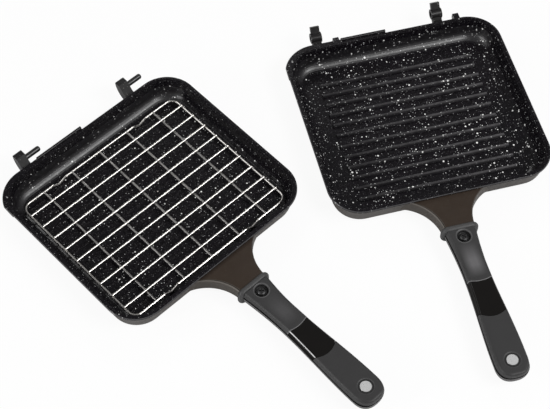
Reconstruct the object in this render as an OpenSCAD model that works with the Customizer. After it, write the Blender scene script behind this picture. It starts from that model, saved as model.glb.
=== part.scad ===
// Double sided flip pan, unhooked and laid open: a left half with a loose wire
// rack in it and a ribbed right half, each a shallow cast pan with a long handle.
// Closed, the right half turns over onto the left one about the two hinge pins.
// Frame: origin on the table under the middle of the left half, +X along its
// hinge line, its handle towards -Y, +Z up. Millimetres.

/* [Cast pan halves] */
// Width of the rim, along the hinge line
pan_w = 241.4; // [200:0.2:320]
// Depth of the rim, from back to front
pan_d = 221.2; // [185:0.2:280]
// Height of the rim's top above the table
pan_h = 28; // [25:1:40]
// Radius of the rim's corners, seen from above
corner_r = 35; // [28:1:45]
// Thickness of the side walls
wall_t = 3.2; // [2.4:0.1:4.5]
// Thickness of the floor
floor_t = 4; // [3:0.5:6]
// Lean of the side walls away from upright, in degrees
draft = 11; // [4:1:14]
// Radius between the floor and the walls, inside
cove_r = 12; // [8:1:14]
// Radius between the base and the walls, outside
base_r = 8; // [4:1:10]
// Thickness of the rim flange
flange_t = 2.6; // [2:0.1:4]
// How far the rim flange stands out past the wall
flange_over = 2.3; // [1:0.1:4]
// Depth of the step along the flange's inner edge
lip_step = 0.8; // [0.4:0.1:1.4]
// Width of that step
lip_w = 1.6; // [0.8:0.1:2.4]

/* [Ledge on the back edge] */
// How far the ledge along the left of the back edge stands out
ledge_out = 3; // [2:0.5:4]
// Depth of the ledge below the rim
ledge_t = 5; // [3.5:0.5:7]
// How far the ledge's raised strip stands above the rim
strip_up = 2; // [1:0.5:3]
// Gap between the ledge's inner end and the middle of the rim
ledge_from_mid = 1.5; // [1:0.5:3]
// Gap between the left half's strip and its outer pin's lug
strip_lug_gap = 7; // [5:0.5:12]
// Gap between the right half's strip and its peg
strip_peg_gap = 1.5; // [1:0.5:4]

/* [Ribs of the right half] */
// Number of ribs
rib_count = 12; // [6:1:13]
// Gap between a rib's end and the foot of the side wall's curve
rib_end_gap = 14.1; // [8:0.1:40]
// Gap between the outer ribs and the foot of the front and back walls' curve
rib_side_gap = 14.5; // [8:0.5:30]
// Extra gap between the middle two ribs
rib_mid_gap = 1.7; // [0:0.1:6]
// Height of a rib above the floor
rib_h = 3; // [1.5:0.5:5]
// Width of a rib at its top
rib_top_w = 2.2; // [1:0.2:4]
// Width of a rib at its foot
rib_foot_w = 4.6; // [4.2:0.2:7]
// How far the middle of the ribs lies in front of the middle of the floor
rib_shift = 3.9; // [0:0.1:6]

/* [Hinge] */
// Diameter of a hinge pin
pin_d = 6; // [4:0.5:7]
// Length of a pin that stands out of its lug
pin_len = 18; // [14:1:22]
// Radial clearance of a knuckle's bore round its pin
pin_clear = 0.05; // [0.02:0.01:0.1]
// Distance of the hinge line behind the rim
hinge_back = 11.6; // [11:0.2:16]
// Distance from the rim's left side to the outer pin's lug face
outer_pin_in = 53.7; // [48:0.1:60]
// Distance from the rim's right side to the inner pin's lug face
inner_pin_in = 49.1; // [44:0.1:55]
// Width of a lug
lug_w = 11; // [9:0.5:13]
// Width of a knuckle
knuckle_w = 12; // [9:0.5:13]
// Outer diameter of a knuckle's barrel
knuckle_d = 11.4; // [10:0.2:12]
// Reach of a knuckle's stop tab from the hinge line
tab_reach = 12.6; // [10:0.2:16]
// Width of a knuckle's stop tab and neck
tab_w = 9.8; // [7:0.2:11]
// Side play of a knuckle beside its lug
end_play = 0.5; // [0.2:0.1:1]
// Width of a stop peg
peg_w = 6.4; // [4:0.2:8]
// How far a stop peg stands back from the rim
peg_out = 7.2; // [4:0.2:8]
// Gap between a stop peg and the other half's lug when the pan is closed
peg_lug_gap = 0.4; // [0.2:0.1:1]

/* [Handle bracket] */
// Distance from the rim to the handle's guard
bracket_len = 35.9; // [28:0.1:50]
// Width of the bracket's narrow end
bracket_w = 32.6; // [28:0.2:36]
// Radius of the bracket's hollow sides
bracket_curve_r = 47; // [44:1:80]
// Thickness of the bracket
bracket_t = 15.5; // [12:0.5:16]
// Width of the tang inside the handle
tang_w = 16; // [12:1:18]
// Thickness of the tang
tang_t = 5.5; // [4:0.5:6]
// Length of the tang past the guard
tang_len = 80; // [50:1:110]

/* [Handle] */
// How far the handle lies beside the middle of its pan
handle_shift = 2.2; // [0:0.2:4]
// Length of the handle from the guard to the tip
handle_len = 168; // [150:1:210]
// Widest width of the handle at the guard
root_w = 33.2; // [29:0.2:35]
// Widest width of the handle at its waist
waist_w = 27; // [24:0.2:30]
// Widest width of the grip
grip_w = 34.2; // [29:0.2:38]
// How much narrower the upper face is on each side than the widest width
face_in = 1.1; // [0.2:0.1:2]
// Distance from the guard to the waist
waist_at = 53; // [40:1:60]
// Thickness of the handle at the guard
root_t = 20; // [17:0.5:22]
// Thickness of the grip
grip_t = 18; // [14:0.5:20]
// Depth of the covers above the parting line
cover_t = 7.4; // [6.4:0.2:8.4]
// Radius of the covers' upper edge
edge_r = 3.4; // [1:0.2:4]
// How far the face between the guard and the gloss band is dished
dish = 1.2; // [0:0.2:2]
// Distance from the guard to the gloss band
band_at = 62; // [50:1:75]
// Length of the gloss band
band_len = 40; // [20:1:50]
// Width of the seams beside the gloss band
seam = 0.2; // [0.1:0.05:0.4]
// Width of the guard
guard_w = 40; // [37:1:46]
// Height of the guard
guard_h = 21; // [20:0.5:24]
// Thickness of the guard
guard_t = 7; // [5:0.5:8]
// Gap between the two handles when the pan is closed
handle_gap = 0.3; // [0.2:0.1:1]

/* [Handle screw and magnet] */
// Diameter of the screw's thread
screw_d = 5; // [4:0.5:6]
// Diameter of the screw's head
screw_head_d = 8.4; // [7.6:0.2:9.4]
// Distance from the guard to the screw
screw_at = 8.5; // [8:0.5:12]
// Diameter of the recess round the screw
recess_d = 13.6; // [12:0.2:14]
// Depth of that recess
recess_t = 4.6; // [3.8:0.2:5]
// Diameter of the magnet
magnet_d = 12; // [8:0.5:14]
// Thickness of the magnet
magnet_t = 3; // [2:0.5:4]
// Distance from the handle's tip to the middle of the magnet
magnet_at = 16.5; // [14:0.5:24]

/* [Wire rack] */
// Diameter of the wire
wire_d = 2.4; // [1.8:0.1:3]
// Gap between the rack's sides and the curve of the side walls
rack_side_gap = 7; // [3:0.1:20]
// How far the rack's front and back wires lie inside the flat of the floor
rack_end_in = 2; // [1:0.1:12]
// Radius of the rack's corners
rack_corner_r = 9; // [6:1:20]
// Number of long bars
bar_count = 9; // [5:1:12]
// Gap between the outer bars and the border
bar_end_gap = 15.4; // [8:0.2:24]
// Number of cross wires
cross_count = 5; // [3:1:6]
// Gap between the outer cross wires and the border
cross_end_gap = 28.4; // [20:0.2:50]
// Distance of the feet from the middle of the rack
foot_at = 55; // [40:1:60]
// Length of border that a foot takes up
foot_span = 15; // [10:1:20]
// How far a foot dips below the border
foot_h = 4; // [2:0.5:5]

/* [Layout on the table] */
// Gap between the left half's corner and the right half's side
halves_gap = 27.5; // [10:0.1:80]
// How far that corner lies in front of the right half's middle
halves_shift = 55.6; // [40:0.2:80]
// How far the right half is turned clockwise, in degrees
right_turn = 29; // [20:1:32]

/* [Hidden] */
$fn = 48;

// Colours
coat_black = [0.13, 0.13, 0.14];
coat_brown = [0.36, 0.32, 0.29];
soft_grey = [0.34, 0.34, 0.35];
dark_grey = [0.28, 0.28, 0.29];
gloss_black = [0.07, 0.065, 0.06];
steel = [0.75, 0.75, 0.76];
dark_steel = [0.33, 0.33, 0.34];

// A small overlap that lets joined shapes share volume
sink = 0.5;
// Gap beside a part that seats on a curved or moving neighbour
seat_gap = 0.3;
// Slack round the tang, the screw and the magnet
slack = 0.1;

// Corner centres of the rim
corner_x = pan_w / 2 - corner_r;
corner_y = pan_d / 2 - corner_r;
// The flange's corner chamfer
chamfer = 0.7;
// Where the wall's outer face is, measured from a corner centre, at height z
function wall_x(z) = corner_r - flange_over - (pan_h - flange_t - z) * tan(draft);
// Where its inner face is
function wall_in_x(z) = wall_x(z) - wall_t / cos(draft);
// A round stretch of an outline, from angle a0 to a1 in n steps
function arc(cx, cy, r, a0, a1, n) =
    [for (i = [0 : n]) let (a = a0 + (a1 - a0) * i / n) [cx + r * cos(a), cy + r * sin(a)]];
// Outer outline of the wall, from the base's middle up to the rim's top
outer_outline = concat(
    [[0, 0]],
    arc(wall_x(base_r) - base_r / cos(draft), base_r, base_r, -90, -draft, 6),
    [
        [wall_x(pan_h - flange_t), pan_h - flange_t],
        [corner_r - chamfer, pan_h - flange_t],
        [corner_r, pan_h - flange_t + chamfer],
        [corner_r, pan_h - chamfer],
        [corner_r - chamfer, pan_h]
    ]
);
// Inner outline, from the flange's top down to the floor's middle
inner_outline = concat(
    [
        [wall_in_x(pan_h - lip_step) + lip_w, pan_h],
        [wall_in_x(pan_h - lip_step) + lip_w, pan_h - lip_step],
        [wall_in_x(pan_h - lip_step), pan_h - lip_step]
    ],
    arc(wall_in_x(floor_t + cove_r) - cove_r / cos(draft), floor_t + cove_r, cove_r, -draft, -90, 8),
    [[0, floor_t]]
);
shell_outline = concat(outer_outline, inner_outline);
solid_outline = concat(outer_outline, [[0, pan_h]]);

// Where the floor's flat ends, measured from a corner centre
flat_x = wall_in_x(floor_t + cove_r) - cove_r / cos(draft);
// How far the curve above it has reached at height z
function cove_x(z) = flat_x + sqrt(pow(cove_r, 2) - pow(floor_t + cove_r - z, 2));

// Ribs
rib_len = 2 * (corner_x + flat_x - rib_end_gap);
rib_pitch = (2 * (corner_y + flat_x - rib_side_gap) - rib_mid_gap) / (rib_count - 1);

// Hinge line
hinge_y = pan_d / 2 + hinge_back;
hinge_z = pan_h;
pin_r = pin_d / 2;
// Faces of the two lugs, from which the pins stand out
lug_faces = [outer_pin_in - pan_w / 2, pan_w / 2 - inner_pin_in];
// How far a lug's shoulder reaches behind and above the hinge line
lug_back = 9;
lug_up = 6;
// How far the lug's hole stays short of its outer face
hole_end = 2;
// How far the roots of lugs, knuckles and bracket reach into the wall before trimming
root_in = 8;
// The part of a pin that is pressed into its lug
pin_root_r = pin_r - 0.5;
// Gap between the two halves' edges behind the rim
edge_gap = 0.4;

// Handle levels and stations
guard_y = -(pan_d / 2 + bracket_len);
handle_y = guard_y - guard_t;
face_z = pan_h - handle_gap / 2;
parting_z = face_z - cover_t;
bracket_top = pan_h - flange_t - 0.8;
tang_top = parting_z - slack;
tip_len = grip_w / 2;
// Bluntness of the tip: 2 is a half circle
blunt = 2.5;
// Fullness of the section below the parting line: 1 is an ellipse, less is fuller
belly = 0.64;
// Length over which the handle widens from the waist to the grip
swell_len = 94;
// How far the dished face ends short of the gloss band
dish_end = 4;
head_t = 2.7;
washer_t = 1;
screw_end_z = face_z - root_t + 2.5;

// Rack
wire_r = wire_d / 2;
border_z = floor_t + seat_gap + wire_r + foot_h;
bar_z = border_z + wire_d * 0.9;
rack_w = 2 * (corner_x + cove_x(border_z) - wire_r - rack_side_gap);
rack_d = 2 * (corner_y + flat_x - rack_end_in);
bar_pitch = (rack_d - 2 * bar_end_gap) / (bar_count - 1);
cross_pitch = (rack_w - 2 * cross_end_gap) / (cross_count - 1);
// How far the rack lies towards the front of the left pan
rack_y = rack_end_in + 0.8;

// Right half's middle
right_reach = pan_w / 2 + halves_gap + corner_r;
right_x = corner_x + right_reach * cos(right_turn) + halves_shift * sin(right_turn);
right_y = corner_y + right_reach * sin(right_turn) - halves_shift * cos(right_turn);

// ---------------------------------------------------------------- shared shapes

// Sweeps an outline, drawn outwards from a corner centre, round the whole rim
module round_the_rim(outline) {
    for (turn = [0, 180])
        rotate([0, 0, turn]) {
            translate([corner_x, corner_y, 0])
                rotate_extrude(angle = 90) polygon(outline);
            translate([-corner_x, corner_y, 0])
                rotate([0, 0, 90]) rotate_extrude(angle = 90) polygon(outline);
            translate([corner_x, 0, 0])
                rotate([90, 0, 0]) linear_extrude(2 * corner_y, center = true) polygon(outline);
            rotate([0, 0, 90]) translate([corner_y, 0, 0])
                rotate([90, 0, 0]) linear_extrude(2 * corner_x, center = true) polygon(outline);
        }
}

// The middle of the pan between the corner centres, up to height top
module middle_slab(top) {
    translate([-corner_x, -corner_y, 0])
        cube([2 * corner_x, 2 * corner_y, top]);
}

module pan_shell() {
    round_the_rim(shell_outline);
    middle_slab(floor_t);
}

// The pan without its hollow, to trim what seats against its outside
module pan_block() {
    round_the_rim(solid_outline);
    middle_slab(pan_h);
}

// Extrudes an outline in the Y-Z plane, measured from the rim's back edge and
// top, along X from x by width w
module behind_rim(x, w, outline) {
    translate([x, pan_d / 2, pan_h])
        rotate([90, 0, 90]) linear_extrude(w) polygon(outline);
}

// The ledge along the left of the back edge and round its corner
module ledge() {
    outline = [
        [corner_r - 4, pan_h - ledge_t], [corner_r, pan_h - ledge_t],
        [corner_r + ledge_out, pan_h - ledge_t + 1.5], [corner_r + ledge_out, pan_h - chamfer],
        [corner_r + ledge_out - chamfer, pan_h], [corner_r - 4, pan_h]
    ];
    difference() {
        translate([-corner_x, corner_y, 0]) {
            rotate([0, 0, 90]) rotate_extrude(angle = 90) polygon(outline);
            rotate([90, 0, 90]) linear_extrude(corner_x - ledge_from_mid) polygon(outline);
        }
        translate([-pan_w, 0, 0]) cube([pan_w / 2, pan_d, 2 * pan_h]);
    }
}

// Everything that lugs, knuckles and bracket are trimmed to
module pan_outside() {
    pan_block();
    ledge();
}

module in_right_half() {
    translate([right_x, -right_y, 0]) rotate([0, 0, -right_turn]) children();
}

// ---------------------------------------------------------------- pan halves

// The raised part of the ledge, which stands behind the other half's rim
module strip(length) {
    behind_rim(-ledge_from_mid - length, length, [
        [edge_gap, -1], [ledge_out, -1], [ledge_out, strip_up - 0.5],
        [ledge_out - 0.5, strip_up], [edge_gap + 0.5, strip_up], [edge_gap, strip_up - 0.5]
    ]);
}

module left_pan() {
    color(coat_black) {
        pan_shell();
        ledge();
        strip(-lug_faces[0] - strip_lug_gap - ledge_from_mid);
    }
}

module ribs() {
    for (i = [0 : rib_count - 1])
        let (step = (rib_count - 1) / 2 - i)
        translate([-rib_len / 2, step * rib_pitch + sign(step) * rib_mid_gap / 2 - rib_shift, floor_t])
            rotate([90, 0, 90]) linear_extrude(rib_len) polygon([
                [-rib_foot_w / 2, -sink], [rib_foot_w / 2, -sink],
                [rib_top_w / 2, rib_h], [-rib_top_w / 2, rib_h]
            ]);
}

// Pegs beside the other half's lugs when the pan is closed
module stop_pegs() {
    for (face = lug_faces)
        behind_rim(lug_w - face + peg_lug_gap, peg_w, [
            [-2, -0.1], [-2, -8], [peg_out - 1.5, -8], [peg_out, -6],
            [peg_out, -0.9], [peg_out - 0.8, -0.1]
        ]);
}

module right_pan() {
    color(coat_black) in_right_half() {
        pan_shell();
        ledge();
        ribs();
        stop_pegs();
        strip(lug_faces[1] - lug_w - peg_lug_gap - peg_w - strip_peg_gap - ledge_from_mid);
    }
}

// ---------------------------------------------------------------- hinge

// A curved arm from under the rim up to the hinge line, with a flat cap
module hinge_lug(face) {
    outer_r = hinge_back + lug_back;
    difference() {
        behind_rim(face - lug_w, lug_w, concat(
            [[-root_in, lug_up - outer_r]],
            arc(-2, lug_up, outer_r, -90, 0, 10),
            [[hinge_back + 0.5, lug_up], [ledge_out + 0.3, -3.5], [-root_in, -3.5]]
        ));
        pan_outside();
        translate([face - lug_w + hole_end, hinge_y, hinge_z])
            rotate([0, 90, 0]) cylinder(r = pin_root_r, h = lug_w);
    }
}

// A shouldered pin with a round end, its root pressed into the lug
module hinge_pin(face) {
    end_r = pin_r * 0.7;
    translate([face, hinge_y, hinge_z]) rotate([0, 90, 0]) {
        rotate_extrude() polygon(concat(
            [[0, 0], [pin_r, 0]],
            [for (p = arc(pin_r - end_r, pin_len - end_r, end_r, 0, 90, 6)) p],
            [[0, pin_len]]
        ));
        translate([0, 0, hole_end - lug_w]) cylinder(r = pin_root_r, h = lug_w - hole_end + 0.1);
    }
}

// A barrel on a low neck, with a stop tab, that slides onto a pin
module hinge_knuckle(face) {
    x = -face - end_play - knuckle_w;
    neck_x = x + (knuckle_w - tab_w) / 2;
    low = strip_up + 0.8;
    difference() {
        union() {
            translate([x, hinge_y, hinge_z])
                rotate([0, 90, 0]) cylinder(d = knuckle_d, h = knuckle_w);
            behind_rim(neck_x, tab_w, [
                [-root_in, -low], [ledge_out + 0.6, -low], [hinge_back - knuckle_d / 2, 0],
                [hinge_back + 1, -knuckle_d / 2 + 1], [ledge_out - 1, -13], [-root_in, -13]
            ]);
            translate([neck_x, hinge_y, hinge_z])
                rotate([50, 0, 0]) translate([0, 0, -2])
                    cube([tab_w, tab_reach, 4.4]);
        }
        pan_outside();
        translate([x - 1, hinge_y, hinge_z])
            rotate([0, 90, 0]) cylinder(r = pin_r + pin_clear, h = knuckle_w + 2);
    }
}

// ---------------------------------------------------------------- handle

// Half of the handle's widest width at distance s from the guard
function half_width(s) =
    s < waist_at
    ? waist_w / 2 + (root_w - waist_w) / 2 * pow(1 - s / waist_at, 2)
    : let (t = min(1, (s - waist_at) / swell_len))
      waist_w / 2 + (grip_w - waist_w) / 2 * (3 - 2 * t) * t * t;
// How far a blunt round tip of length len has closed at distance s, from 1 to 0
function closing(s, len) =
    let (u = max(0, s - (handle_len - len)) / len) pow(max(0, 1 - pow(u, blunt)), 1 / blunt);
// Height of the upper face
function upper_z(s) =
    face_z - edge_r * (1 - closing(s, edge_r))
    - (s < band_at - dish_end ? dish * pow(sin(180 * s / (band_at - dish_end)), 2) : 0);
// Height of the underside
function under_z(s) =
    let (t = min(1, s / waist_at), deep = root_t + (grip_t - root_t) * (3 - 2 * t) * t * t)
    parting_z - (deep - cover_t) * (0.35 + 0.65 * closing(s, tip_len * 0.6));

// Distances from the guard at which the handle's sections are drawn
tip_from = handle_len - tip_len;
stations = concat(
    [for (i = [0 : 15]) tip_from * i / 16],
    [for (a = [0 : 10 : 80]) tip_from + tip_len * pow(sin(a), 2 / blunt)],
    [tip_from + tip_len * pow(sin(87), 2 / blunt)]
);

// Section above the parting line, as a closed ring
function cover_ring(s) =
    let (
        widest = half_width(s) * closing(s, tip_len),
        w = (half_width(s) - face_in) * closing(s, tip_len),
        z = upper_z(s), r = min(edge_r, w * 0.8)
    )
    concat([[widest, parting_z]], arc(w - r, z - r, r, 0, 90, 4), arc(r - w, z - r, r, 90, 180, 4),
        [[-widest, parting_z]]);
// Section below it
function base_ring(s) =
    let (w = half_width(s) * closing(s, tip_len), deep = parting_z - under_z(s))
    [for (a = [180 : 12 : 360])
        let (x = sign(cos(a)) * pow(abs(cos(a)), belly), z = sign(sin(a)) * pow(abs(sin(a)), belly))
            [w * x, parting_z + deep * z]];

// Joins the rings at all stations into one closed body
module loft(rings) {
    n = len(rings[0]);
    m = len(rings);
    points = [for (i = [0 : m - 1]) for (p = rings[i]) [p[0], handle_y - stations[i], p[1]]];
    sides = [for (i = [0 : m - 2]) for (j = [0 : n - 1]) let (k = (j + 1) % n, a = i * n, b = a + n)
        each [[a + j, a + k, b + k], [a + j, b + k, b + j]]];
    near_end = [[for (j = [n - 1 : -1 : 0]) j]];
    far_end = [[for (j = [0 : n - 1]) (m - 1) * n + j]];
    polyhedron(points, concat(sides, near_end, far_end));
}

module whole_cover() {
    loft([for (s = stations) cover_ring(s)]);
}

// Everything past a seam at distance s, which bulges towards the tip by bulge
module beyond_seam(s, bulge) {
    r = (pow(waist_w / 2, 2) + bulge * bulge) / (2 * bulge);
    difference() {
        translate([-grip_w, handle_y - 2 * handle_len, parting_z - 1])
            cube([2 * grip_w, 2 * handle_len - s + bulge + 2, cover_t + 3]);
        translate([0, handle_y - s + r, parting_z - 2]) cylinder(r = r, h = cover_t + 5, $fn = 96);
        translate([-grip_w - 1, handle_y - s + bulge, parting_z - 2])
            cube([2 * grip_w + 2, handle_len, cover_t + 5]);
    }
}

module tang_slot() {
    translate([-tang_w / 2 - slack, handle_y - tang_len - slack, tang_top - tang_t - slack])
        cube([tang_w + 2 * slack, tang_len + slack + 1, tang_t + 2 * slack + sink]);
}

// A hole down the handle screw's axis, from height low to high
module screw_hole(r, low, high) {
    translate([0, handle_y - screw_at, low]) cylinder(r = r, h = high - low);
}

module handle_bracket(handle_side) {
    color(coat_brown) difference() {
        union() {
            difference() {
                translate([-bracket_curve_r - bracket_w / 4, guard_y, bracket_top - bracket_t])
                    cube([2 * bracket_curve_r + bracket_w / 2, bracket_len + root_in, bracket_t]);
                for (side = [-1, 1])
                    translate([side * (bracket_w / 2 + bracket_curve_r), guard_y - guard_t / 2, 0])
                        cylinder(r = bracket_curve_r, h = pan_h, $fn = 128);
            }
            translate([-tang_w / 2, handle_y - tang_len, tang_top - tang_t])
                cube([tang_w, tang_len + guard_t + sink, tang_t]);
        }
        translate([-handle_side * handle_shift, 0, 0]) pan_block();
        screw_hole(screw_d / 2 + 0.3, 0, pan_h);
    }
}

// A rounded plate that keeps the hand off the hot bracket
module handle_guard() {
    r = guard_t / 2;
    corner = guard_t + 1;
    color(dark_grey) difference() {
        translate([0, guard_y - r, face_z - guard_h / 2]) hull() {
            for (side = [-1, 1], end = [-1, 1])
                translate([side * (guard_w / 2 - corner), 0, end * (guard_h / 2 - corner)])
                    rotate([90, 0, 0]) rotate_extrude($fn = 32)
                        translate([corner - r, 0]) circle(r, $fn = 16);
        }
        translate([-tang_w / 2 - slack, guard_y - guard_t - 1, tang_top - tang_t - slack])
            cube([tang_w + 2 * slack, guard_t + 2, tang_t + 2 * slack]);
    }
}

module handle_base() {
    color(soft_grey) difference() {
        difference() {
            loft([for (s = stations) base_ring(s)]);
            tang_slot();
        }
        screw_hole(screw_d / 2 + slack / 2, screw_end_z, parting_z + 1);
    }
}

module handle_cover() {
    color(soft_grey) difference() {
        whole_cover();
        beyond_seam(band_at, 3);
        screw_hole(screw_d / 2 + 0.3, parting_z - 1, pan_h);
        screw_hole(recess_d / 2, face_z - recess_t, pan_h + 1);
    }
}

module handle_band() {
    color(gloss_black) difference() {
        intersection() {
            whole_cover();
            beyond_seam(band_at + seam, 3);
        }
        beyond_seam(band_at + band_len, 5);
    }
}

module handle_grip() {
    magnet_y = handle_y - handle_len + magnet_at;
    color(soft_grey) difference() {
        intersection() {
            whole_cover();
            beyond_seam(band_at + band_len + seam, 5);
        }
        translate([0, magnet_y, face_z - magnet_t - slack / 2])
            cylinder(d = magnet_d + 2 * slack, h = magnet_t + 1);
        translate([0, magnet_y, face_z - 0.5]) difference() {
            cylinder(d = magnet_d + 5, h = 2);
            translate([0, 0, -1]) cylinder(d = magnet_d + 3.4, h = 4);
        }
    }
}

module handle_screw() {
    head_z = face_z - recess_t + washer_t;
    color(steel) difference() {
        translate([0, handle_y - screw_at, 0]) {
            translate([0, 0, screw_end_z + slack]) cylinder(d = screw_d, h = head_z - screw_end_z);
            translate([0, 0, head_z]) cylinder(d = screw_head_d, h = head_t - 0.8);
            translate([0, 0, head_z + head_t - 0.8])
                cylinder(d1 = screw_head_d, d2 = screw_head_d - 2, h = 0.8);
        }
        for (turn = [45, 135])
            translate([0, handle_y - screw_at, head_z + head_t]) rotate([0, 0, turn])
                cube([screw_head_d * 0.6, 1, 2.4], center = true);
    }
}

module screw_washer() {
    color(steel) translate([0, handle_y - screw_at, face_z - recess_t]) difference() {
        cylinder(d = screw_head_d + 1.4, h = washer_t);
        translate([0, 0, -1]) cylinder(d = screw_d + 0.4, h = washer_t + 2);
    }
}

module magnet() {
    color(steel) translate([0, handle_y - handle_len + magnet_at, face_z - magnet_t - slack / 2]) {
        cylinder(d = magnet_d, h = magnet_t - 0.4);
        translate([0, 0, magnet_t - 0.4]) cylinder(d1 = magnet_d, d2 = magnet_d - 0.8, h = 0.4);
    }
}

// ---------------------------------------------------------------- rack

// A straight wire between two points
module wire(a, b) {
    d = b - a;
    flat = norm([d[0], d[1]]);
    translate(a) rotate([0, atan2(flat, d[2]), atan2(d[1], d[0])]) cylinder(r = wire_r, h = norm(d));
}

// Route of the border wire's back half: points from its left end to its right
// end, round both corners and through both feet, drawn at z = 0
function foot_points(x, y) = let (in = foot_span / 2, bend = 1.5)
    [
        [x - in - bend, y, 0], [x - in, y, -0.12 * foot_h], [x - in + bend, y, -0.4 * foot_h],
        [x - bend, y, -0.88 * foot_h], [x, y, -foot_h], [x + bend, y, -0.88 * foot_h],
        [x + in - bend, y, -0.4 * foot_h], [x + in, y, -0.12 * foot_h], [x + in + bend, y, 0]
    ];
function half_border() =
    let (x = rack_w / 2, y = rack_d / 2, r = rack_corner_r)
    concat(
        [for (p = arc(r - x, y - r, r, 180, 90, 6)) [p[0], p[1], 0]],
        foot_points(-foot_at, y),
        foot_points(foot_at, y),
        [for (p = arc(x - r, y - r, r, 90, 0, 6)) [p[0], p[1], 0]]
    );
function whole_border() =
    let (half = half_border()) concat(half, [for (p = half) [-p[0], -p[1], p[2]]]);

// A closed wire swept along a route that turns mostly in plan
module closed_wire(route, sides = 12) {
    n = len(route);
    points = [
        for (i = [0 : n - 1])
            let (
                ahead = route[(i + 1) % n] - route[(i + n - 1) % n],
                along = ahead / norm(ahead),
                across = cross(along, [0, 0, 1]) / norm(cross(along, [0, 0, 1])),
                up = cross(across, along)
            )
            for (j = [0 : sides - 1])
                let (a = 360 * (j + 0.5) / sides)
                    route[i] + wire_r * (cos(a) * across + sin(a) * up)
    ];
    faces = [
        for (i = [0 : n - 1]) for (j = [0 : sides - 1])
            let (k = (j + 1) % sides, a = i * sides, b = ((i + 1) % n) * sides)
                each [[a + j, b + k, a + k], [a + j, b + j, b + k]]
    ];
    polyhedron(points, faces);
}

module in_rack() {
    translate([0, -rack_y, 0]) children();
}

module rack_border() {
    color(steel) in_rack() translate([0, 0, border_z]) closed_wire(whole_border());
}

module rack_bars() {
    x = rack_w / 2;
    color(steel) in_rack()
        for (i = [0 : bar_count - 1])
            let (y = (i - (bar_count - 1) / 2) * bar_pitch)
                wire([-x, y, bar_z], [x, y, bar_z]);
}

module rack_cross_wires() {
    y = rack_d / 2;
    color(steel) in_rack()
        for (i = [0 : cross_count - 1])
            let (x = (i - (cross_count - 1) / 2) * cross_pitch)
                wire([x, -y, border_z], [x, y, border_z]);
}

// ---------------------------------------------------------------- nodes

// Puts handle pieces on their pan: the handles of both halves meet when it closes
module on_handle(side) {
    if (side > 0)
        translate([handle_shift, 0, 0]) children();
    else
        in_right_half() translate([-handle_shift, 0, 0]) children();
}

left_pan();
color(coat_brown) hinge_lug(lug_faces[0]);  // left_hinge_lug_outer
color(coat_brown) hinge_lug(lug_faces[1]);  // left_hinge_lug_inner
color(dark_steel) hinge_pin(lug_faces[0]);  // left_hinge_pin_outer
color(dark_steel) hinge_pin(lug_faces[1]);  // left_hinge_pin_inner
on_handle(1) handle_bracket(1);  // left_handle_bracket
on_handle(1) handle_guard();  // left_handle_guard
on_handle(1) handle_base();  // left_handle_base
on_handle(1) handle_cover();  // left_handle_cover
on_handle(1) handle_band();  // left_handle_band
on_handle(1) handle_grip();  // left_handle_grip
on_handle(1) handle_screw();  // left_handle_screw
on_handle(1) screw_washer();  // left_screw_washer
on_handle(1) magnet();  // left_magnet
rack_border();
rack_bars();
rack_cross_wires();
right_pan();
color(coat_brown) in_right_half() hinge_knuckle(lug_faces[1]);  // right_hinge_knuckle_outer
color(coat_brown) in_right_half() hinge_knuckle(lug_faces[0]);  // right_hinge_knuckle_inner
on_handle(-1) handle_bracket(-1);  // right_handle_bracket
on_handle(-1) handle_guard();  // right_handle_guard
on_handle(-1) handle_base();  // right_handle_base
on_handle(-1) handle_cover();  // right_handle_cover
on_handle(-1) handle_band();  // right_handle_band
on_handle(-1) handle_grip();  // right_handle_grip
on_handle(-1) handle_screw();  // right_handle_screw
on_handle(-1) screw_washer();  // right_screw_washer
on_handle(-1) magnet();  // right_magnet
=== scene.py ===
import math

import bmesh
import bpy
from mathutils import Matrix, Vector


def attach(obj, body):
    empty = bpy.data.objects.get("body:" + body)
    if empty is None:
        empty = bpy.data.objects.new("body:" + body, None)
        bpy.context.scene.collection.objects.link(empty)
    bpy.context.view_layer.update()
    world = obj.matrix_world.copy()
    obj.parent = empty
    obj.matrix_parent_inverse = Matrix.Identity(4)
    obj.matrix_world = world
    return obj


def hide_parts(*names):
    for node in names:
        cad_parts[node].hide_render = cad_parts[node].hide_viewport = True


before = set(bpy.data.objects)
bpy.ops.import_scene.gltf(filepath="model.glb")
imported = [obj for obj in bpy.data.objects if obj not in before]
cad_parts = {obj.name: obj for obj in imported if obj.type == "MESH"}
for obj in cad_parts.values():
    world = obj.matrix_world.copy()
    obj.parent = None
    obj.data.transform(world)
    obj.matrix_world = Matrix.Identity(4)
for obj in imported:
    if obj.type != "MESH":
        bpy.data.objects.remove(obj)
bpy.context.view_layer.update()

MM = 0.001

# ------------------------------------------------------------------ sizes, mm
# The pan, its rim flange and the lean of its walls
PAN_D = 221.2
PAN_H = 28.0
FLANGE_OVER, FLANGE_T = 2.3, 2.6
WALL_LEAN = math.radians(11)

# The bracket, with the radius that its sides are hollowed by and those of its long edges
BRACKET_W, BRACKET_CURVE_R, BRACKET_T, BRACKET_LEN = 32.6, 47.0, 15.5, 35.9
BRACKET_UPPER_R, BRACKET_LOWER_R = 1.6, 2.4
# How far its top lies below the flange, and its root reaches into the wall
BRACKET_DROP, BRACKET_ROOT_IN = 0.8, 1.0
BRACKET_TOP = PAN_H - FLANGE_T - BRACKET_DROP
BRACKET_STEPS = 24
# The bracket's tang inside the handle, where it starts in the guard, and its chamfered end
TANG_W, TANG_T, TANG_LEN = 16.0, 5.5, 80.0
TANG_START, TANG_CHAMFER = 0.5, 0.6

# The guard between bracket and handle
GUARD_Y = -(PAN_D / 2 + BRACKET_LEN)
GUARD_T, GUARD_W, GUARD_H, GUARD_CORNER = 7.0, 40.0, 21.0, 8.0

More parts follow.
